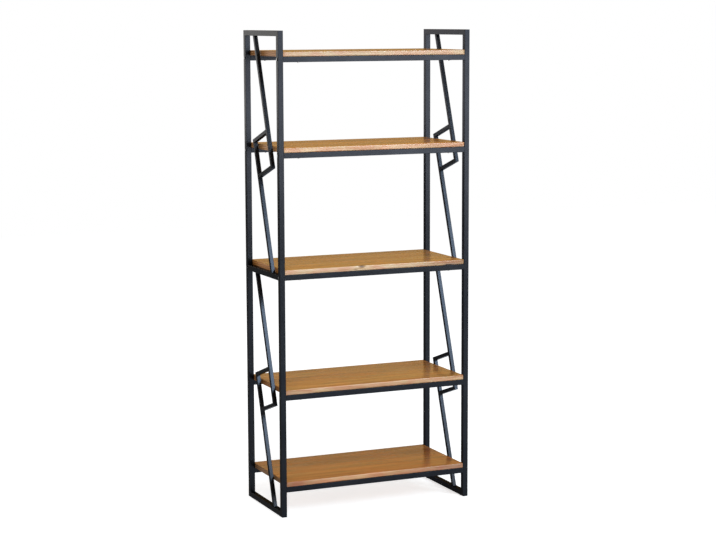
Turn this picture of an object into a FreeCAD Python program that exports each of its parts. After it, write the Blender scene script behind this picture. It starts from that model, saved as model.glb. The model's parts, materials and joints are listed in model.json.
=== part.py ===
import FreeCAD, Part
import math
import os

os.makedirs("parts", exist_ok=True)

# Open shelving unit: two welded side frames of square steel tube, joined by five pairs of
# bolted cross rails, each pair carrying one wooden board with a natural front edge.
# The origin is on the floor under the middle of the unit. +X is to the right, +Y to the back, +Z up.
# All lengths are in millimetres.

# Overall sizes
unit_width = 762.0
unit_depth = 351.0
unit_height = 1772.0

# Square tube of the side frames and cross rails
tube_size = 20.0
tube_wall = 1.5
tube_outer_radius = 1.2
tube_inner_radius = 0.5

# Square tube of the leaning braces
brace_size = 14.0
brace_wall = 1.2
brace_outer_radius = 1.0
brace_inner_radius = 0.4

# Brace pattern in each bay of a side frame: two leaning bars, closed by two short links.
# The lean of the bars is from upright and the tilt of the links from level, both in degrees.
brace_lean = 19.5
link_tilt = 18.5
bar_spacing = 139.0
link_spacing = 138.0

# Heights of the cross rails: the middle pair is half way up the side frame, the end pairs lie in
# from the frame's top and bottom, and the other two lie a pitch in from the end pairs
end_shelf_inset = 102.0
end_bay_pitch = 342.0

# Wooden boards
board_thickness = 18.0
board_end_gap = 1.0
board_back_gap = 0.5
live_edge_depth = 5.0

# Front edge of each board from left to right, bottom board first:
# shares of the board's length, and shares of live_edge_depth by which the edge lies back
edge_place_shares = (0.0, 0.17, 0.34, 0.5, 0.66, 0.83, 1.0)
edge_setback_shares = (
    (0.2, 0.1, 0.4, 0.6, 0.3, 0.15, 0.5),
    (0.4, 0.15, 0.1, 0.35, 0.6, 0.4, 0.2),
    (0.15, 0.3, 0.1, 0.7, 0.25, 0.1, 0.9),
    (0.3, 0.1, 0.25, 0.15, 0.1, 0.3, 1.0),
    (0.5, 0.2, 0.1, 0.2, 0.45, 0.3, 0.1),
)

# Threaded plugs fixed in the ends of the cross rails
plug_length = 20.0
plug_clearance = 0.1
plug_corner_radius = 1.0

# Flat-head bolts through the uprights into the plugs; the margin is from the head to the tube's edge
bolt_diameter = 6.0
bolt_engagement = 15.0
bolt_head_margin = 4.75
bolt_head_height = 1.8
bolt_head_round = 1.0
bolt_socket_width = 4.0
bolt_socket_depth = 1.4
bolt_hole_clearance = 0.3
thread_clearance = 0.1

# Wood screws up through the cross rails into the boards
screw_diameter = 4.0
screw_bite = 12.0
screw_head_diameter = 8.0
screw_head_height = 2.5
screw_head_round = 1.2
screw_hole_clearance = 0.2
screw_inset = 60.0

# Nylon glides under the bottom rails
glide_diameter = 16.0
glide_thickness = 2.0
glide_stem_diameter = 6.0
glide_stem_length = 8.0
glide_hole_clearance = 0.1
glide_inset = 30.0

# Reach of every cut past the face that it goes through
overrun = 5.0

x_axis = FreeCAD.Vector(1, 0, 0)
y_axis = FreeCAD.Vector(0, 1, 0)
z_axis = FreeCAD.Vector(0, 0, 1)

# Places that several pieces share
frame_foot = glide_thickness
frame_middle = (frame_foot + unit_height) / 2
frame_x = unit_width / 2 - tube_size / 2
upright_y = unit_depth / 2 - tube_size / 2
inner_x = unit_width / 2 - tube_size
inner_y = unit_depth / 2 - tube_size
low_rail_z = frame_foot + tube_size / 2
high_rail_z = unit_height - tube_size / 2
shelf_levels = (
    frame_foot + end_shelf_inset,
    frame_foot + end_shelf_inset + end_bay_pitch,
    frame_middle,
    unit_height - end_shelf_inset - end_bay_pitch,
    unit_height - end_shelf_inset,
)
side_signs = {"left": -1, "right": 1}


def point(x, y, z):
    return FreeCAD.Vector(x, y, z)


def save(shape, name):
    shape.exportStep(os.path.join("parts", name + ".step"))


# Outline of a square with rounded corners, about the Z axis
def rounded_square(size, radius):
    half = size / 2
    flat = half - radius
    bulge = flat + radius * math.cos(math.pi / 4)
    edges = []
    for quarter in range(4):
        turn = FreeCAD.Rotation(z_axis, 90 * quarter)
        side_start = turn.multVec(point(half, -flat, 0))
        side_end = turn.multVec(point(half, flat, 0))
        arc_middle = turn.multVec(point(bulge, bulge, 0))
        arc_end = turn.multVec(point(flat, half, 0))
        edges.append(Part.LineSegment(side_start, side_end).toShape())
        edges.append(Part.Arc(side_end, arc_middle, arc_end).toShape())
    return Part.Wire(edges)


# Solid bar of a rounded square section from one point to another
def square_bar(size, radius, start, end):
    run = end - start
    bar = Part.Face(rounded_square(size, radius)).extrude(z_axis * run.Length)
    bar.Placement = FreeCAD.Placement(start, FreeCAD.Rotation(z_axis, run))
    return bar


def hollow_tube(size, wall, outer_radius, inner_radius, start, end):
    reach = (end - start).normalize() * overrun
    outside = square_bar(size, outer_radius, start, end)
    inside = square_bar(size - 2 * wall, inner_radius, start - reach, end + reach)
    return outside.cut(inside)


def frame_tube(start, end):
    return hollow_tube(tube_size, tube_wall, tube_outer_radius, tube_inner_radius, start, end)


def brace_tube(start, end):
    return hollow_tube(brace_size, brace_wall, brace_outer_radius, brace_inner_radius, start, end)


# Cuts away what lies past a plane, given by a point on it and the direction that goes away
def trim(shape, place, away, reach):
    corner = point(-reach, -reach, 0)
    block = Part.makeBox(2 * reach, 2 * reach, 2 * reach, corner)
    block.Placement = FreeCAD.Placement(place, FreeCAD.Rotation(z_axis, away))
    return shape.cut(block)


def drill(shape, places, direction, diameter, depth):
    for place in places:
        shape = shape.cut(Part.makeCylinder(diameter / 2, depth, place, direction))
    return shape


# Frame tube with both ends mitred in a corner, along the side view's middle plane.
# turn_in points from the tube to the inside of the frame.
def mitred_tube(start, end, turn_in):
    along = (end - start).normalize()
    reach = along * tube_size
    tube = frame_tube(start - reach, end + reach)
    tube = trim(tube, start, turn_in - along, 2 * tube_size)
    return trim(tube, end, turn_in + along, 2 * tube_size)


# Upright with a bolt hole through both side walls at each shelf
def upright(y, turn_in):
    tube = mitred_tube(point(0, y, low_rail_z), point(0, y, high_rail_z), turn_in)
    hole_start = -tube_size / 2 - overrun
    places = [point(hole_start, y, level) for level in shelf_levels]
    return drill(tube, places, x_axis, bolt_diameter + 2 * bolt_hole_clearance, tube_size + 2 * overrun)


def bottom_rail():
    rail = mitred_tube(point(0, -upright_y, low_rail_z), point(0, upright_y, low_rail_z), z_axis)
    hole_start = frame_foot - overrun
    places = [point(0, y, hole_start) for y in glide_places]
    return drill(rail, places, z_axis, glide_stem_diameter + 2 * glide_hole_clearance, overrun + tube_size / 2)


def top_rail():
    return mitred_tube(point(0, -upright_y, high_rail_z), point(0, upright_y, high_rail_z), -z_axis)


def middle_rail():
    return frame_tube(point(0, -inner_y, frame_middle), point(0, inner_y, frame_middle))


# Four brace pieces of one bay, between the rails whose facing sides are at the two heights.
# The upper bar leans forward on its way down and turns the corner into the low link.
# The lower bar and the high link are the same two pieces, turned half round the bay's middle.
def brace_pieces(bay_floor, bay_ceiling):
    lean = math.radians(brace_lean)
    tilt = math.radians(link_tilt)
    middle = point(0, 0, (bay_floor + bay_ceiling) / 2)
    down_bar = point(0, -math.sin(lean), -math.cos(lean))
    across = point(0, -math.cos(lean), math.sin(lean))
    up_link = point(0, -math.cos(tilt), math.sin(tilt))
    corner = middle + down_bar * (link_spacing / 2) + across * (bar_spacing / 2)
    bar_head = corner - down_bar * ((bay_ceiling - corner.z) / math.cos(lean))
    bar = brace_tube(bar_head - down_bar * brace_size, corner + down_bar * brace_size)
    bar = trim(bar, bar_head, z_axis, 2 * brace_size)
    bar = trim(bar, corner, down_bar - up_link, 2 * brace_size)
    link_run = (bar_spacing - brace_size / 2) / math.cos(lean - tilt)
    link_end = corner - up_link * link_run
    link = brace_tube(link_end - up_link * brace_size, corner + up_link * brace_size)
    link = trim(link, corner, up_link - down_bar, 2 * brace_size)
    link = trim(link, link_end, -across, 2 * brace_size)
    pieces = {"upper_bar": bar, "low_link": link}
    for name, partner in (("lower_bar", "upper_bar"), ("high_link", "low_link")):
        turned = pieces[partner].copy()
        turned.rotate(middle, x_axis, 180)
        pieces[name] = turned
    return pieces


# All tubes of one side frame, in the plane x = 0
def side_frame_pieces():
    pieces = {
        "front_upright": upright(-upright_y, y_axis),
        "rear_upright": upright(upright_y, -y_axis),
        "bottom_rail": bottom_rail(),
        "middle_rail": middle_rail(),
        "top_rail": top_rail(),
    }
    bays = {
        "upper_brace": (frame_middle + tube_size / 2, unit_height - tube_size),
        "lower_brace": (frame_foot + tube_size, frame_middle - tube_size / 2),
    }
    for bay, (bay_floor, bay_ceiling) in bays.items():
        for name, shape in brace_pieces(bay_floor, bay_ceiling).items():
            pieces[bay + "_" + name] = shape
    return pieces


# Cross rail at one height, with holes for the board's screws through its top and bottom walls
def cross_rail(y, level):
    rail = frame_tube(point(-inner_x, y, level), point(inner_x, y, level))
    hole_start = level - tube_size / 2 - overrun
    places = [point(x, y, hole_start) for x in screw_places]
    return drill(rail, places, z_axis, screw_diameter + 2 * screw_hole_clearance, tube_size + 2 * overrun)


# Board on top of its two rails, with a wavy front edge and screw holes from below
def board(level, setback_shares):
    half_length = inner_x - board_end_gap
    front = -unit_depth / 2
    back = unit_depth / 2 - board_back_gap
    underside = level + tube_size / 2
    edge_points = []
    for place_share, setback_share in zip(edge_place_shares, setback_shares):
        x = (2 * place_share - 1) * half_length
        edge_points.append(point(x, front + setback_share * live_edge_depth, underside))
    front_curve = Part.BSplineCurve()
    front_curve.interpolate(edge_points)
    back_left = point(-half_length, back, underside)
    back_right = point(half_length, back, underside)
    outline = Part.Wire([
        front_curve.toShape(),
        Part.LineSegment(edge_points[-1], back_right).toShape(),
        Part.LineSegment(back_right, back_left).toShape(),
        Part.LineSegment(back_left, edge_points[0]).toShape(),
    ])
    plank = Part.Face(outline).extrude(z_axis * board_thickness)
    places = [point(x, y, underside - overrun) for x in screw_places for y in (-upright_y, upright_y)]
    hole_depth = overrun + screw_bite + thread_clearance
    return drill(plank, places, z_axis, screw_diameter + 2 * thread_clearance, hole_depth)


# Plug just inside the end of a cross rail; inward points from that end into the rail
def rail_plug(rail_end, inward):
    size = tube_size - 2 * tube_wall - 2 * plug_clearance
    block = square_bar(size, plug_corner_radius, rail_end, rail_end + inward * plug_length)
    bore_start = rail_end - inward * overrun
    return drill(block, [bore_start], inward, bolt_diameter + 2 * thread_clearance, plug_length + 2 * overrun)


# Disc with its far rim rounded, standing on a seat; outward is the way that it stands
def rounded_head(diameter, height, rim_round, seat, outward):
    disc = Part.makeCylinder(diameter / 2, height)
    rim = [edge for edge in disc.Edges if edge.BoundBox.ZMin > height / 2]
    disc = disc.makeFillet(rim_round, rim)
    disc.Placement = FreeCAD.Placement(seat, FreeCAD.Rotation(z_axis, outward))
    return disc


# Flat-head bolt with a hexagon socket, seated on the outside of an upright
def frame_bolt(seat, inward):
    head_diameter = tube_size - 2 * bolt_head_margin
    head = rounded_head(head_diameter, bolt_head_height, bolt_head_round, seat, -inward)
    corner_radius = bolt_socket_width / 2 / math.cos(math.pi / 6)
    rim = []
    for corner in range(7):
        angle = math.pi / 3 * corner
        rim.append(point(corner_radius * math.cos(angle), corner_radius * math.sin(angle), 0))
    socket = Part.Face(Part.makePolygon(rim)).extrude(z_axis * (bolt_socket_depth + overrun))
    socket_floor = seat - inward * (bolt_head_height - bolt_socket_depth)
    socket.Placement = FreeCAD.Placement(socket_floor, FreeCAD.Rotation(z_axis, -inward))
    shank = Part.makeCylinder(bolt_diameter / 2, tube_size + bolt_engagement, seat, inward)
    return head.cut(socket).fuse(shank).removeSplitter()


# Wood screw with a rounded head, seated on the underside of a cross rail
def board_screw(seat):
    head = rounded_head(screw_head_diameter, screw_head_height, screw_head_round, seat, -z_axis)
    shank = Part.makeCylinder(screw_diameter / 2, tube_size + screw_bite, seat, z_axis)
    return head.fuse(shank).removeSplitter()


# Floor pad with a stem that is pressed into the bottom rail
def floor_glide(x, y):
    pad = Part.makeCylinder(glide_diameter / 2, glide_thickness, point(x, y, 0))
    stem = Part.makeCylinder(glide_stem_diameter / 2, glide_stem_length, point(x, y, glide_thickness))
    return pad.fuse(stem).removeSplitter()


screw_places = (-inner_x + screw_inset, inner_x - screw_inset)
glide_places = (-unit_depth / 2 + glide_inset, unit_depth / 2 - glide_inset)

# Side frames with their glides
frame_pieces = side_frame_pieces()
for side, sign in side_signs.items():
    for name, shape in frame_pieces.items():
        save(shape.translated(point(sign * frame_x, 0, 0)), side + "_" + name)
    for end, y in zip(("front", "rear"), glide_places):
        save(floor_glide(sign * frame_x, y), side + "_" + end + "_glide")

# Shelves: two cross rails, a board and its four screws at each level
rail_rows = {"front": -upright_y, "rear": upright_y}
for number, (level, setback_shares) in enumerate(zip(shelf_levels, edge_setback_shares), start=1):
    shelf = "shelf_" + str(number)
    save(board(level, setback_shares), shelf + "_board")
    screws = []
    for row, y in rail_rows.items():
        save(cross_rail(y, level), shelf + "_" + row + "_rail")
        for x in screw_places:
            screws.append(board_screw(point(x, y, level - tube_size / 2)))
    save(Part.makeCompound(screws), shelf + "_screws")

# Plugs and bolts where the cross rails meet each side frame
for side, sign in side_signs.items():
    inward = x_axis * -sign
    plugs = []
    bolts = []
    for level in shelf_levels:
        for y in rail_rows.values():
            plugs.append(rail_plug(point(sign * inner_x, y, level), inward))
            bolts.append(frame_bolt(point(sign * unit_width / 2, y, level), inward))
    save(Part.makeCompound(plugs), side + "_rail_plugs")
    save(Part.makeCompound(bolts), side + "_frame_bolts")
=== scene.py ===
import bmesh
import bpy
import json
import math
from mathutils import Matrix, Vector


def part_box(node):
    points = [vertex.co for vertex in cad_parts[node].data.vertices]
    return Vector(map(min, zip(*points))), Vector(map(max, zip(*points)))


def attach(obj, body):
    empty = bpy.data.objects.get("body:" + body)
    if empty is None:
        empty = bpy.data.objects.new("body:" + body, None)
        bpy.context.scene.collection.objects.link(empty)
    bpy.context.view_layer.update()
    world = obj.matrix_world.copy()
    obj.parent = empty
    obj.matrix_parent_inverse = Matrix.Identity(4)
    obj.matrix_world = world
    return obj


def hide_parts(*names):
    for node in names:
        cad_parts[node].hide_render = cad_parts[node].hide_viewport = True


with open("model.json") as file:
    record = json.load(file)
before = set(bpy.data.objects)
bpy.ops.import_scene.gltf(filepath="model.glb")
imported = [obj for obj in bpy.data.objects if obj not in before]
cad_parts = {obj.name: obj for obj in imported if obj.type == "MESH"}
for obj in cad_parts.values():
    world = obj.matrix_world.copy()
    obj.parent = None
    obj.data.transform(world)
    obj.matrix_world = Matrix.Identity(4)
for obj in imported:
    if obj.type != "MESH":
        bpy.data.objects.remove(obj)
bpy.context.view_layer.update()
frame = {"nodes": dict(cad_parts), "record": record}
scene = bpy.context.scene
scene.view_settings.view_transform = "Standard"
print("frame loaded:", len(frame["nodes"]), "nodes")

# Camera: where the photograph was taken from, angles in degrees
cameraSettings = {
    "place": (-2.7965, -6.3574, 1.8141),
    "yaw": 23.768,  # to the right of straight ahead
    "pitch": 7.706,  # down
    "roll": -0.205,
    "focalPixels": 1860.35,
    "imageWidth": 716,
    "sensorWidth": 36.0,
}


def makeCamera(settings):
    bpy.ops.object.camera_add()
    camera = bpy.context.object
    camera.name = "photoCamera"
    turn = Matrix.Rotation(-math.radians(settings["yaw"]), 4, "Z")
    tip = Matrix.Rotation(math.pi / 2 - math.radians(settings["pitch"]), 4, "X")
    roll = Matrix.Rotation(math.radians(settings["roll"]), 4, "Z")
    camera.matrix_world = Matrix.Translation(settings["place"]) @ turn @ tip @ roll
    camera.data.sensor_width = settings["sensorWidth"]
    camera.data.lens = settings["focalPixels"] / settings["imageWidth"] * settings["sensorWidth"]
    scene.camera = camera


makeCamera(cameraSettings)
print("camera placed")

noiseSpan = (0.3, 0.7)  # nearly all of a noise lies between these
noiseMiddle = 0.5


# Node helpers: sockets take plain values or other nodes' outputs
def putNode(tree, kind, values=None, **options):
    node = tree.nodes.new("ShaderNode" + kind)
    for option, value in options.items():
        setattr(node, option, value)
    setSockets(tree, node, values or {})
    return node


def setSockets(tree, node, values):
    for socket, value in values.items():
        if isinstance(value, bpy.types.NodeSocket):
            tree.links.new(value, node.inputs[socket])
        else:
            node.inputs[socket].default_value = value


def mathNode(tree, operation, *values):
    return putNode(tree, "Math", dict(enumerate(values)), operation=operation).outputs[0]


def lengthNode(tree, vector):
    return putNode(tree, "VectorMath", {0: vector}, operation="LENGTH").outputs[1]


def rangeNode(tree, value, fromSpan, toSpan, smooth=False):
    values = {0: value, 1: fromSpan[0], 2: fromSpan[1], 3: toSpan[0], 4: toSpan[1]}
    kind = "SMOOTHSTEP" if smooth else "LINEAR"
    return putNode(tree, "MapRange", values, interpolation_type=kind).outputs[0]


def mixColours(tree, factor, first, second, blend="MIX"):
    values = {0: factor, 6: first, 7: second}  # the colour sockets come after those for numbers and vectors
    return putNode(tree, "Mix", values, data_type="RGBA", blend_type=blend).outputs[2]


def solid(colour):
    return (*colour, 1.0)


def tinted(tree, colour, tint):
    return mixColours(tree, 1.0, colour, tint, "MULTIPLY")


def colourRamp(tree, factor, stops, interpolation="LINEAR"):
    node = putNode(tree, "ValToRGB", {0: factor})
    ramp = node.color_ramp
    ramp.interpolation = interpolation
    while len(ramp.elements) < len(stops):
        ramp.elements.new(1.0)
    for element, (place, colour) in zip(ramp.elements, stops):
        element.position = place
        element.color = solid(colour)
    return node.outputs[0]


def placed(tree, coords, scale, shift):
    return putNode(tree, "Mapping", {0: coords, 1: shift, 3: scale}).outputs[0]


def evenNoise(tree, coords, scale, detail):
    return putNode(tree, "TexNoise", {"Vector": coords, "Scale": scale, "Detail": detail}).outputs[0]


def bumpNode(tree, height, distance, strength):
    return putNode(tree, "Bump", {"Height": height, "Distance": distance, "Strength": strength}).outputs[0]


def newFinish(name):
    finish = bpy.data.materials.new(name)
    finish.use_nodes = True
    tree = finish.node_tree
    shader = tree.nodes["Principled BSDF"]
    coords = putNode(tree, "TexCoord").outputs["Object"]
    return finish, tree, shader, coords


# Satin black powder coat of the steel frame
coatSettings = {
    "colours": ((0.3, (0.0116, 0.0132, 0.0168)), (0.7, (0.0158, 0.0178, 0.0222))),
    "patchScale": 9.0,
    "patchDetail": 4.0,
    "peelScale": 1400.0,  # orange peel of the sprayed powder
    "peelDetail": 2.0,
    "peelHeight": 0.000025,
    "peelStrength": 0.6,
    "rough": (0.21, 0.28),
    "metallic": 0.85,
    "specular": 0.12,
    "edgeTint": (0.22, 0.25, 0.30),
}


def blackCoat(settings):
    finish, tree, shader, coords = newFinish("satinBlackCoat")
    patches = evenNoise(tree, coords, settings["patchScale"], settings["patchDetail"])
    peel = evenNoise(tree, coords, settings["peelScale"], settings["peelDetail"])
    setSockets(tree, shader, {
        "Base Color": colourRamp(tree, patches, settings["colours"]),
        "Roughness": rangeNode(tree, peel, noiseSpan, settings["rough"]),
        "Normal": bumpNode(tree, peel, settings["peelHeight"], settings["peelStrength"]),
        "Metallic": settings["metallic"],
        "Specular IOR Level": settings["specular"],
        "Specular Tint": solid(settings["edgeTint"]),
    })
    return finish


# Boards from the bottom up: where the staves meet, as shares of the depth, a tone for each stave, and tints
# for the heartwood, the sapwood and the sawn ends; the rear staves of boards 1 and 2 are lighter as painted
# light against the shade of the board above
boardLooks = {
    1: {"seed": 1.7, "joints": (0.0, 0.19, 0.38, 0.6, 0.82), "tonesAndPaintedLight": (0.35, 0.55, 0.5, 0.85, 0.95),
        "heart": (1.05, 0.90, 0.97), "sap": (0.88, 0.68, 0.54), "end": (1.00, 1.00, 1.00)},
    2: {"seed": 4.1, "joints": (0.0, 0.22, 0.41, 0.63, 0.8), "tonesAndPaintedLight": (0.45, 0.4, 0.65, 0.9, 1.0),
        "heart": (1.17, 1.18, 1.38), "sap": (0.84, 0.74, 0.66), "end": (1.25, 1.00, 0.70)},
    3: {"seed": 7.3, "joints": (0.0, 0.17, 0.39, 0.58, 0.79), "tonesAndPaintedLight": (0.3, 0.6, 0.4, 0.75, 0.6),
        "heart": (1.28, 1.37, 1.36), "sap": (0.92, 0.89, 0.90), "end": (2.20, 1.75, 1.00)},
    4: {"seed": 9.6, "joints": (0.0, 0.21, 0.37, 0.61, 0.83), "tonesAndPaintedLight": (0.6, 0.35, 0.8, 0.5, 0.7),
        "heart": (1.36, 1.36, 1.14), "sap": (0.90, 0.80, 0.73), "end": (2.20, 2.10, 1.75)},
    5: {"seed": 12.2, "joints": (0.0, 0.18, 0.42, 0.6, 0.81), "tonesAndPaintedLight": (0.45, 0.65, 0.3, 0.75, 0.5),
        "heart": (0.94, 1.02, 1.04), "sap": (0.75, 0.71, 0.67), "end": (1.90, 1.72, 1.45)},
}

# Noise patterns of the wood: cells in a metre along each axis, fewer along X where a pattern follows
# the grain, and how many times its seed a board moves the pattern along each axis
grainPatterns = {
    "streaks": {"perMetre": (1.4, 26.0, 26.0), "shift": (0, 0, 0), "detail": 6.0, "rough": 0.6,
                "distort": 0.3},
    "fibres": {"perMetre": (9.0, 620.0, 620.0), "shift": (0, 0, 0), "detail": 3.0},
    "pores": {"perMetre": (40.0, 1050.0, 1050.0), "shift": (1, 1, 0), "detail": 1.0},
    "veins": {"perMetre": (4.5, 42.0, 42.0), "shift": (1, 0, 1), "detail": 4.0, "distort": 0.4},
    "mottle": {"perMetre": (7.0, 24.0, 24.0), "shift": (1, 2, 0), "detail": 2.5},
    "ragged": {"perMetre": (60.0, 60.0, 60.0), "shift": (3, 1, 0), "detail": 3.0},
    "sapGrain": {"perMetre": (7.0, 160.0, 210.0), "shift": (1, 0, 1), "detail": 4.0},
    "blotch": {"perMetre": (15.0, 30.0, 50.0), "shift": (2, 0, 1), "detail": 2.0},
}


# With a stave's own seed, the pattern breaks off where two staves meet
def grainNoise(tree, coords, name, seed, staveSeed=None):
    pattern = grainPatterns[name]
    shift = tuple(seed * times for times in pattern["shift"])
    values = {"Vector": placed(tree, coords, pattern["perMetre"], shift), "Scale": 1.0,
              "Detail": pattern["detail"]}
    if "rough" in pattern:
        values["Roughness"] = pattern["rough"]
    if "distort" in pattern:
        values["Distortion"] = pattern["distort"]
    if staveSeed is None:
        return putNode(tree, "TexNoise", values).outputs[0]
    values["W"] = staveSeed
    return putNode(tree, "TexNoise", values, noise_dimensions="4D").outputs[0]


# Heartwood: staves glued side by side, with streaks, growth lines, veins and pores
heartSettings = {
    "colours": ((0.32, (0.300, 0.126, 0.027)), (0.46, (0.440, 0.208, 0.047)),
                (0.58, (0.510, 0.256, 0.060)), (0.70, (0.590, 0.318, 0.085))),
    "staveStep": 11.0,  # spreads the staves' tones into seeds
    # spreads each stave's tone, and the painted light of the rear staves of boards 1 and 2, into brightness
    "staveToneAndPaintedLight": (0.88, 1.12),
    "fibreTone": (0.82, 1.16),
    "ringColour": (0.60, 0.44, 0.28),
    "ringShare": 0.8,
    "ringStretch": (0.11, 1.0, 1.0),  # less than 1 draws them out, more draws them together
    "ringScale": 22.0,
    "ringWander": 7.0,
    "ringDetail": 3.0,
    "ringDetailScale": 0.42,
    "ringStep": 9.0,  # starts each stave's growth lines at another place
    "veinColour": (0.200, 0.078, 0.017),
    "veinSpan": (0.52, 0.70),
    "veinShare": 0.62,
    "poreSpan": (0.58, 0.68),
    "poreShare": 0.55,
    "glueColour": (0.300, 0.126, 0.027),
    "glueWidth": 0.0016,  # share of the depth
    "glueShare": 0.5,
    "mottleTints": ((0.40, (1.10, 0.94, 0.82)), (0.60, (0.94, 0.98, 1.00))),  # redder, more olive
}


def heartWood(tree, coords, depthShare, fibres, poreMask, look, settings):
    seed = look["seed"]
    stops = [(place, (tone, tone, tone)) for place, tone in zip(look["joints"], look["tonesAndPaintedLight"])]
    stave = colourRamp(tree, depthShare, stops, "CONSTANT")
    staveSeed = mathNode(tree, "MULTIPLY_ADD", stave, settings["staveStep"], seed)
    streaks = grainNoise(tree, coords, "streaks", seed, staveSeed)
    heart = colourRamp(tree, streaks, settings["colours"])

    # Growth lines, darker towards one side of each
    rings = putNode(tree, "TexWave", {
        "Vector": placed(tree, coords, settings["ringStretch"], (seed, 0, 0)),
        "Scale": settings["ringScale"],
        "Distortion": settings["ringWander"],
        "Detail": settings["ringDetail"],
        "Detail Scale": settings["ringDetailScale"],
        "Phase Offset": mathNode(tree, "MULTIPLY", staveSeed, settings["ringStep"]),
    }, bands_direction="Y", wave_profile="SAW").outputs[1]
    ringShare = mathNode(tree, "MULTIPLY", rings, settings["ringShare"])
    heart = mixColours(tree, ringShare, heart, solid(settings["ringColour"]), "MULTIPLY")

    # Tone of the fibres and of each stave, with painted light on the rear staves of boards 1 and 2, then
    # veins and pores
    fibreTone = rangeNode(tree, fibres, noiseSpan, settings["fibreTone"])
    staveToneAndPaintedLight = rangeNode(tree, stave, (0.0, 1.0), settings["staveToneAndPaintedLight"])
    tone = mathNode(tree, "MULTIPLY", fibreTone, staveToneAndPaintedLight)
    heart = tinted(tree, heart, putNode(tree, "CombineColor", {0: tone, 1: tone, 2: tone}).outputs[0])
    veins = grainNoise(tree, coords, "veins", seed, staveSeed)
    veinShare = rangeNode(tree, veins, settings["veinSpan"], (0.0, settings["veinShare"]), True)
    heart = mixColours(tree, veinShare, heart, solid(settings["veinColour"]))
    poreShare = mathNode(tree, "MULTIPLY", poreMask, settings["poreShare"])
    heart = mixColours(tree, poreShare, heart, solid(settings["veinColour"]))
    heart = tinted(tree, heart, solid(look["heart"]))

    # Thin dark glue lines where two staves meet
    for joint in look["joints"][1:]:
        offset = mathNode(tree, "ABSOLUTE", mathNode(tree, "SUBTRACT", depthShare, joint))
        line = rangeNode(tree, offset, (0.0, settings["glueWidth"]), (settings["glueShare"], 0.0))
        heart = mixColours(tree, line, heart, solid(settings["glueColour"]))
    mottle = grainNoise(tree, coords, "mottle", seed)
    return tinted(tree, heart, colourRamp(tree, mottle, settings["mottleTints"]))


# Pale sapwood of the natural front edge
sapSettings = {
    "colours": ((0.32, (0.430, 0.245, 0.130)), (0.46, (0.530, 0.345, 0.208)),
                (0.68, (0.590, 0.412, 0.278))),
    "blotchTints": ((0.40, (1.00, 0.86, 0.83)), (0.60, (1.02, 1.10, 1.06))),  # pinker, creamier
    "raggedShare": 0.9,  # how far the border with the heartwood wanders at the arris
    "borderSpan": (0.45, 0.8),
}

# Darker or redder stretches of sapwood towards the ends, full at the first place and gone at the second
stains = {
    1: ({"full": -0.365, "gone": -0.170, "tint": (0.62, 0.50, 0.52)},
        {"full": 0.365, "gone": -0.050, "tint": (0.64, 0.60, 0.70)}),
    2: ({"full": -0.365, "gone": -0.230, "tint": (0.84, 0.78, 0.76)},),
    3: ({"full": 0.350, "gone": 0.070, "tint": (0.60, 0.50, 0.42)},),
    4: ({"full": 0.300, "gone": 0.020, "tint": (0.86, 0.76, 0.72)},),
}


def sapWood(tree, coords, along, number, look, settings):
    sap = colourRamp(tree, grainNoise(tree, coords, "sapGrain", look["seed"]), settings["colours"])
    blotch = grainNoise(tree, coords, "blotch", look["seed"])
    sap = tinted(tree, sap, colourRamp(tree, blotch, settings["blotchTints"]))
    sap = tinted(tree, sap, solid(look["sap"]))
    for stain in stains.get(number, ()):
        stainShare = rangeNode(tree, along, (stain["full"], stain["gone"]), (1.0, 0.0), True)
        sap = mixColours(tree, stainShare, sap, solid(stain["tint"]), "MULTIPLY")
    return sap


# What looks to the front is sapwood, and its border is ragged where the arris turns away
def sapBorder(tree, ragged, settings):
    facing = putNode(tree, "SeparateXYZ", {0: putNode(tree, "TexCoord").outputs["Normal"]}).outputs[1]
    level = mathNode(tree, "SUBTRACT", -settings["raggedShare"] * noiseMiddle, facing)
    edgeShare = mathNode(tree, "MULTIPLY_ADD", ragged, settings["raggedShare"], level)
    return rangeNode(tree, edgeShare, settings["borderSpan"], (0.0, 1.0), True)


# Bark left in the wane, where the board's own attribute says; it darkens deeper into the undercut as
# painted shade
barkAndShadeSettings = {
    "colours": ((0.3, (0.330, 0.205, 0.135)), (0.6, (0.050, 0.034, 0.026))),
    "raggedShare": 0.3,
    "borderSpan": (0.16, 0.30),
}


def addBarkAndShade(tree, colour, ragged, settings):
    barkAndShade = putNode(tree, "Attribute", attribute_name="barkAndShade").outputs["Fac"]
    wander = mathNode(tree, "SUBTRACT", ragged, noiseMiddle)
    depth = mathNode(tree, "MULTIPLY_ADD", wander, settings["raggedShare"], barkAndShade)
    share = rangeNode(tree, depth, settings["borderSpan"], (0.0, 1.0), True)
    return mixColours(tree, share, colour, colourRamp(tree, depth, settings["colours"]))


# Knots: a dark core in a soft brown ring, with an outline that the fibres make uneven
knotSettings = {
    "coreColour": (0.090, 0.043, 0.019),
    "ringColour": (0.260, 0.136, 0.062),
    "coreSpan": (0.40, 0.70),
    "ringSpan": (0.75, 1.15),
    "uneven": 0.5,
}

# Both are in the front edge of the middle board: one at the top breaks the arris, a faint one is below
knots = {3: (
    {"x": -0.057, "fromTop": 0.0025, "length": 0.016, "height": 0.0075, "depth": 0.015, "share": 0.9},
    {"x": -0.083, "fromTop": 0.0125, "length": 0.013, "height": 0.0035, "depth": 0.010, "share": 0.4},
)}


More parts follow.
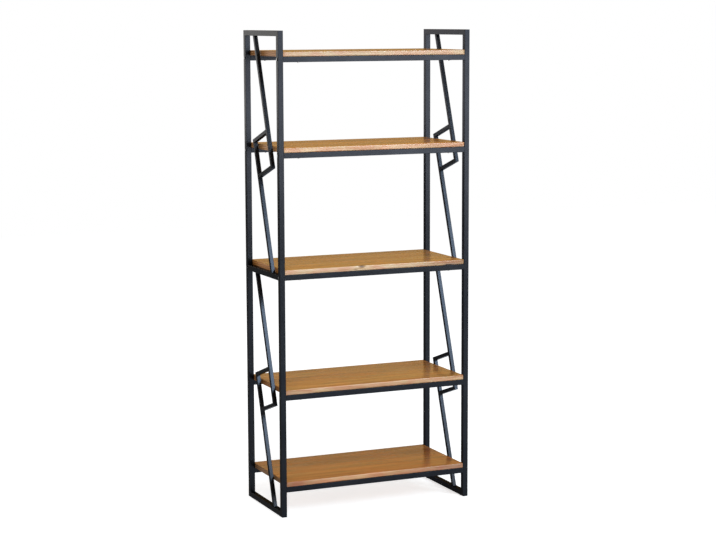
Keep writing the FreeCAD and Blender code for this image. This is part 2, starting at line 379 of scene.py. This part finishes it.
def addKnot(tree, coords, colour, fibres, knot, low, high, settings):
    scale = (1 / knot["length"], 1 / knot["depth"], 1 / knot["height"])
    centre = (knot["x"], low.y, high.z - knot["fromTop"])
    shift = tuple(-place * stretch for place, stretch in zip(centre, scale))
    away = lengthNode(tree, placed(tree, coords, scale, shift))
    away = mathNode(tree, "SUBTRACT", away, settings["uneven"] * noiseMiddle)
    away = mathNode(tree, "MULTIPLY_ADD", fibres, settings["uneven"], away)
    for part in ("ring", "core"):
        share = rangeNode(tree, away, settings[part + "Span"], (knot["share"], 0.0), True)
        colour = mixColours(tree, share, colour, solid(settings[part + "Colour"]))
    return colour


# Lacquer over the wood
lacquerSettings = {
    "rough": (0.27, 0.16),
    "specular": 0.30,
    "grainHeight": 0.00004,
    "grainStrength": 0.5,
}


def boardWood(number, low, high, look, settings):
    finish, tree, shader, coords = newFinish("boardWood" + str(number))
    places = putNode(tree, "SeparateXYZ", {0: coords}).outputs
    depthShare = rangeNode(tree, places[1], (low.y, high.y), (0.0, 1.0))
    fibres = grainNoise(tree, coords, "fibres", look["seed"])
    pores = grainNoise(tree, coords, "pores", look["seed"])
    poreMask = rangeNode(tree, pores, heartSettings["poreSpan"], (0.0, 1.0))
    ragged = grainNoise(tree, coords, "ragged", look["seed"])
    heart = heartWood(tree, coords, depthShare, fibres, poreMask, look, heartSettings)
    sap = sapWood(tree, coords, places[0], number, look, sapSettings)
    colour = mixColours(tree, sapBorder(tree, ragged, sapSettings), heart, sap)
    colour = addBarkAndShade(tree, colour, ragged, barkAndShadeSettings)
    for knot in knots.get(number, ()):
        colour = addKnot(tree, coords, colour, fibres, knot, low, high, knotSettings)
    grain = mathNode(tree, "SUBTRACT", fibres, poreMask)
    setSockets(tree, shader, {
        "Base Color": colour,
        "Roughness": rangeNode(tree, fibres, noiseSpan, settings["rough"]),
        "Normal": bumpNode(tree, grain, settings["grainHeight"], settings["grainStrength"]),
        "Specular IOR Level": settings["specular"],
    })
    return finish


# Sawn ends of the boards, with the growth rings cut across
endSettings = {
    "colours": ((0.25, (0.130, 0.064, 0.028)), (0.75, (0.310, 0.168, 0.080))),
    "ringStretch": (1.0, 1.0, 1.6),  # less than 1 draws them out, more draws them together
    "ringShift": (0.0, 0.03, 0.0),
    "ringScale": 30.0,
    "ringWander": 5.0,
    "ringDetail": 3.0,
    "ringDetailScale": 0.6,
    "ringShare": 0.4,
    "speckScale": 900.0,
    "speckDetail": 2.0,
    "speckShare": 0.6,
    "speckHeight": 0.0002,
    "speckStrength": 0.5,
    "rough": 0.6,
    "specular": 0.05,
}


def endGrain(number, look, settings):
    finish, tree, shader, coords = newFinish("boardEndGrain" + str(number))
    rings = putNode(tree, "TexWave", {
        "Vector": placed(tree, coords, settings["ringStretch"], settings["ringShift"]),
        "Scale": settings["ringScale"],
        "Distortion": settings["ringWander"],
        "Detail": settings["ringDetail"],
        "Detail Scale": settings["ringDetailScale"],
    }, wave_type="RINGS", rings_direction="X").outputs[1]
    specks = evenNoise(tree, coords, settings["speckScale"], settings["speckDetail"])
    share = mathNode(tree, "MULTIPLY", rings, settings["ringShare"])
    share = mathNode(tree, "MULTIPLY_ADD", specks, settings["speckShare"], share)
    setSockets(tree, shader, {
        "Base Color": tinted(tree, colourRamp(tree, share, settings["colours"]), solid(look["end"])),
        "Normal": bumpNode(tree, specks, settings["speckHeight"], settings["speckStrength"]),
        "Roughness": settings["rough"],
        "Specular IOR Level": settings["specular"],
    })
    return finish


# Metals and plastic of the small parts, by the record's slot: colour spread by a fine noise
smallFinishes = {
    "bolt_black": {"name": "blackOxide", "dark": (0.012, 0.012, 0.014), "light": (0.03, 0.03, 0.034),
                   "metal": 0.6, "rough": (0.3, 0.45), "scale": 700.0, "specular": 0.06},
    "plug_steel": {"name": "turnedSteel", "dark": (0.35, 0.35, 0.36), "light": (0.52, 0.52, 0.53),
                   "metal": 1.0, "rough": (0.25, 0.4), "scale": 500.0, "specular": 0.5},
    "screw_zinc": {"name": "brightZinc", "dark": (0.42, 0.42, 0.42), "light": (0.6, 0.6, 0.62),
                   "metal": 1.0, "rough": (0.22, 0.38), "scale": 500.0, "specular": 0.5},
    "glide_nylon": {"name": "blackNylon", "dark": (0.015, 0.015, 0.015), "light": (0.03, 0.03, 0.03),
                    "metal": 0.0, "rough": (0.5, 0.65), "scale": 900.0, "specular": 0.25},
}
smallGrain = {"detail": 3.0, "height": 0.00005, "strength": 0.4}


def smallFinish(settings):
    finish, tree, shader, coords = newFinish(settings["name"])
    grain = evenNoise(tree, coords, settings["scale"], smallGrain["detail"])
    stops = list(zip(noiseSpan, (settings["dark"], settings["light"])))
    setSockets(tree, shader, {
        "Base Color": colourRamp(tree, grain, stops),
        "Roughness": rangeNode(tree, grain, noiseSpan, settings["rough"]),
        "Normal": bumpNode(tree, grain, smallGrain["height"], smallGrain["strength"]),
        "Metallic": settings["metal"],
        "Specular IOR Level": settings["specular"],
    })
    return finish


slotFinish = {slot: smallFinish(settings) for slot, settings in smallFinishes.items()}
slotFinish["frame_black"] = blackCoat(coatSettings)
nodeSlot = {part["node"]: part["material_slot"] for part in frame["record"]["subparts"]}
for name, node in frame["nodes"].items():
    if nodeSlot[name] in slotFinish:
        node.data.materials.clear()
        node.data.materials.append(slotFinish[nodeSlot[name]])
print("finishes made and put on the frame")


# Selects edges or faces of the piece in edit mode
def pick(piece, kind, test):
    bpy.ops.mesh.select_mode(type=kind)
    bpy.ops.mesh.select_all(action="DESELECT")
    shape = bmesh.from_edit_mesh(piece.data)
    items = {"EDGE": shape.edges, "FACE": shape.faces}[kind]
    for item in items:
        item.select_set(test(item))
    shape.select_flush_mode()
    bmesh.update_edit_mesh(piece.data)


def applyModifier(piece, kind, **options):
    modifier = piece.modifiers.new(kind.title(), kind)
    for option, value in options.items():
        setattr(modifier, option, value)
    bpy.ops.object.modifier_apply(modifier=modifier.name)


def weighVertices(piece, name, weigh):
    group = piece.vertex_groups.new(name=name)
    for vertex in piece.data.vertices:
        weight = weigh(vertex.co)
        if weight > 0:
            group.add([vertex.index], weight, "REPLACE")


# Grows from 0 at the start to 1 at the end
def shareAlong(value, start, end):
    return min(max((value - start) / (end - start), 0.0), 1.0)


# Boards with a natural front edge
boardSettings = {
    "endReach": 0.0006,  # into the gap beside the frame
    "sink": 0.0006,  # into the round of the rails
    "touch": 0.001,  # nearer than this counts as the same place
    "frontRound": 0.003,
    "frontSegments": 3,
    "otherRound": 0.0012,
    "otherSegments": 2,
    "sharpAngle": 70,  # degrees
    "lengthCuts": 143,
    "frontCuts": 7,
    "edgeStrip": 0.016,  # depth of the strip behind the edge that the wane cuts into
    "waveDepth": 0.006,  # the waves move what lies less far behind the front
    "waves": {"slow": {"size": 0.16, "height": 0.0055}, "ripple": {"size": 0.028, "height": 0.0016}},
    "calmFrom": 0.22,  # from here to the ends the edge waves less
    "calmShare": 0.6,
    "endFacing": 0.6,  # a face that looks more than this along X is a sawn end
    "smoothAngle": 40,  # degrees
}

# Wane under the front edge at the right-hand end, by board: places along X, its rise as a share of the
# thickness, how far back it goes, and how dark the bark with its painted shade is where the wane is full
# and where it has faded
wanes = {
    3: {"start": 0.272, "full": 0.290, "fade": 0.330, "rise": 0.56, "back": 0.0025,
        "dark": 1.0, "endDark": 0.3},
    4: {"start": 0.250, "full": 0.350, "fade": 0.360, "rise": 0.60, "back": 0.0015,
        "dark": 0.4, "endDark": 0.4},
}


# A box with rounded edges, cut finely along the front edge
def shapeBoard(name, low, high, settings):
    size = high - low
    middle = (low + high) / 2
    bpy.ops.object.select_all(action="DESELECT")
    bpy.ops.mesh.primitive_cube_add(size=1, location=middle)
    board = bpy.context.object
    board.name = name
    board.scale = size
    bpy.ops.object.transform_apply(location=True, rotation=True, scale=True)

    def runsAlong(edge, axis):
        first, second = [getattr(vertex.co, axis) for vertex in edge.verts]
        return abs(first - second) > getattr(size, axis) / 2

    def atFront(edge):
        return all(vertex.co.y < low.y + settings["touch"] for vertex in edge.verts)

    def sharpAbove(edge):
        above = any(vertex.co.z > middle.z for vertex in edge.verts)
        return above and edge.calc_face_angle(0) > math.radians(settings["sharpAngle"])

    bpy.ops.object.mode_set(mode="EDIT")
    pick(board, "EDGE", lambda edge: atFront(edge) and runsAlong(edge, "x"))
    bpy.ops.mesh.bevel(offset=settings["frontRound"], segments=settings["frontSegments"])
    pick(board, "EDGE", sharpAbove)
    bpy.ops.mesh.bevel(offset=settings["otherRound"], segments=settings["otherSegments"])
    pick(board, "EDGE", lambda edge: atFront(edge) and runsAlong(edge, "z"))
    bpy.ops.mesh.subdivide(number_cuts=settings["frontCuts"])
    bpy.ops.mesh.select_all(action="SELECT")
    bpy.ops.mesh.bisect(plane_co=(0, low.y + settings["edgeStrip"], 0), plane_no=(0, 1, 0))
    pick(board, "EDGE", lambda edge: runsAlong(edge, "x"))
    bpy.ops.mesh.subdivide(number_cuts=settings["lengthCuts"])
    bpy.ops.object.mode_set(mode="OBJECT")
    return board


# Slow waves and small ripples along the natural edge
def waveEdge(board, low, high, settings):
    calmFull = (settings["calmFrom"] + high.x) / 2

    def liveliness(co):
        if co.y > low.y + settings["waveDepth"]:
            return 0.0
        return 1 - settings["calmShare"] * shareAlong(abs(co.x), settings["calmFrom"], calmFull)

    weighVertices(board, "liveEdge", liveliness)
    for name, wave in settings["waves"].items():
        clouds = bpy.data.textures.new(board.name + "_" + name, "CLOUDS")
        clouds.noise_scale = wave["size"]
        applyModifier(board, "DISPLACE", texture=clouds, texture_coords="LOCAL", direction="Y",
                      mid_level=0.0, strength=wave["height"], vertex_group="liveEdge")


# Draws the lower part of the edge back, and notes how much bark and painted shade each point shows
def cutWane(board, low, high, wane, settings):
    fullRise = wane["rise"] * (high.z - low.z)
    edgeBack = low.y + settings["edgeStrip"] - settings["touch"]

    def waneShare(co):
        rise = fullRise * shareAlong(co.x, wane["start"], wane["full"])
        if rise == 0 or co.y > edgeBack:
            return 0.0
        return max(1 - (co.z - low.z) / rise, 0.0)

    barkAndShade = board.data.attributes["barkAndShade"]
    for vertex in board.data.vertices:
        fading = shareAlong(vertex.co.x, wane["full"], wane["fade"])
        dark = wane["dark"] + (wane["endDark"] - wane["dark"]) * fading
        barkAndShade.data[vertex.index].value = waneShare(vertex.co) * dark
    weighVertices(board, "wane", waneShare)
    applyModifier(board, "DISPLACE", direction="Y", mid_level=0.0, strength=wane["back"],
                  vertex_group="wane")


def makeBoard(number, look, settings):
    node = "shelf_" + str(number) + "_board"
    low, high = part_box(node)
    low.y = frameFront
    low -= Vector((settings["endReach"], 0, settings["sink"]))
    high.x += settings["endReach"]
    board = shapeBoard("live_edge_board_" + str(number), low, high, settings)
    waveEdge(board, low, high, settings)
    # this attribute holds the bark and the painted shade of the wane
    board.data.attributes.new("barkAndShade", "FLOAT", "POINT")
    if number in wanes:
        cutWane(board, low, high, wanes[number], settings)

    board.data.materials.append(boardWood(number, low, high, look, lacquerSettings))
    board.data.materials.append(endGrain(number, look, endSettings))
    bpy.ops.object.mode_set(mode="EDIT")
    pick(board, "FACE", lambda face: abs(face.normal.x) > settings["endFacing"])
    board.active_material_index = 1  # the end grain
    bpy.ops.object.material_slot_assign()
    bpy.ops.object.mode_set(mode="OBJECT")
    bpy.ops.object.shade_smooth_by_angle(angle=math.radians(settings["smoothAngle"]))
    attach(board, "root")
    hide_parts(node)
    return board


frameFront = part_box("left_top_rail")[0].y  # the natural edges reach as far as the side frames
boards = [makeBoard(number, look, boardSettings) for number, look in boardLooks.items()]
print("boards made:", len(boards))

# Floor: white to the camera and in reflections, with the object's shadow
floorSettings = {
    "size": 18.0,
    "colour": (0.64, 0.64, 0.64),
    "liftColour": (1.0, 1.0, 1.0),
    "lift": (0.70, 0.80),  # light added near the object and far from it
    "liftRadius": (0.9, 4.5),
}


def seenRays(tree):
    rays = putNode(tree, "LightPath").outputs
    seen = mathNode(tree, "MAXIMUM", rays["Is Camera Ray"], rays["Is Glossy Ray"])
    return mathNode(tree, "MAXIMUM", seen, rays["Is Transmission Ray"])


def makeFloor(settings):
    bpy.ops.object.select_all(action="DESELECT")
    bpy.ops.mesh.primitive_plane_add(size=settings["size"])
    floor = bpy.context.object
    floor.name = "studioFloor"
    finish, tree, shader, coords = newFinish("paleFloor")
    tree.nodes.remove(shader)
    matt = putNode(tree, "BsdfDiffuse", {"Color": solid(settings["colour"])})
    away = lengthNode(tree, coords)
    lift = rangeNode(tree, away, settings["liftRadius"], settings["lift"], True)
    strength = mathNode(tree, "MULTIPLY", seenRays(tree), lift)
    glow = putNode(tree, "Emission", {"Color": solid(settings["liftColour"]), "Strength": strength})
    both = putNode(tree, "AddShader", {0: matt.outputs[0], 1: glow.outputs[0]})
    setSockets(tree, tree.nodes["Material Output"], {"Surface": both.outputs[0]})
    floor.data.materials.append(finish)


makeFloor(floorSettings)

# Studio light: a key and a low panel at the front right, a high one at the front left, one at the rear left
lightSettings = {
    "key": {"place": (2.1, -4.5, 3.2), "aim": (0.0, 0.0, 0.9), "size": (1.8, 1.5), "power": 195.0,
            "colour": (0.74, 0.89, 1.0)},
    "low": {"place": (2.2, -4.9, 1.4), "aim": (0.0, 0.0, 1.2), "size": (1.9, 1.6), "power": 68.0,
            "colour": (1.0, 0.98, 0.95)},
    "high": {"place": (-1.4, -2.9, 4.4), "aim": (0.0, 0.0, 0.9), "size": (2.4, 2.0), "power": 88.0,
             "colour": (1.0, 0.98, 0.95)},
    "rear": {"place": (-2.0, 4.6, 1.65), "aim": (0.0, 0.0, 1.4), "size": (1.7, 1.2), "power": 74.0,
             "colour": (1.0, 0.99, 0.97)},
}


def makeLight(name, settings):
    bpy.ops.object.light_add(type="AREA", location=settings["place"])
    light = bpy.context.object
    light.name = name + "Light"
    light.data.shape = "RECTANGLE"
    light.data.size, light.data.size_y = settings["size"]
    light.data.energy = settings["power"]
    light.data.color = settings["colour"]
    way = Vector(settings["aim"]) - Vector(settings["place"])
    light.rotation_euler = way.to_track_quat("-Z", "Y").to_euler()


for name, settings in lightSettings.items():
    makeLight(name, settings)

# Surround: white behind the object; mirrored surfaces find a dimmer, warmer room above the horizon
surroundSettings = {
    "soft": (0.31, 0.31, 0.31),  # what lights the object from all round
    "white": (1.0, 1.0, 1.0),
    "room": (0.52, 0.32, 0.12),
    "horizonSpan": (-0.01, 0.02),
}


def makeSurround(settings):
    world = bpy.data.worlds.new("studioSurround")
    world.use_nodes = True
    scene.world = world
    tree = world.node_tree
    way = putNode(tree, "TexCoord").outputs["Object"]  # which way a ray leaves the scene
    rise = putNode(tree, "SeparateXYZ", {0: way}).outputs[2]
    roomShare = rangeNode(tree, rise, settings["horizonSpan"], (0.0, 1.0), True)
    cameraRay = putNode(tree, "LightPath").outputs["Is Camera Ray"]
    roomShare = mathNode(tree, "SUBTRACT", roomShare, cameraRay)  # the camera itself sees only white
    seen = mixColours(tree, roomShare, solid(settings["white"]), solid(settings["room"]))
    colour = mixColours(tree, seenRays(tree), solid(settings["soft"]), seen)
    setSockets(tree, tree.nodes["Background"], {"Color": colour})


makeSurround(surroundSettings)
print("floor and lights made")
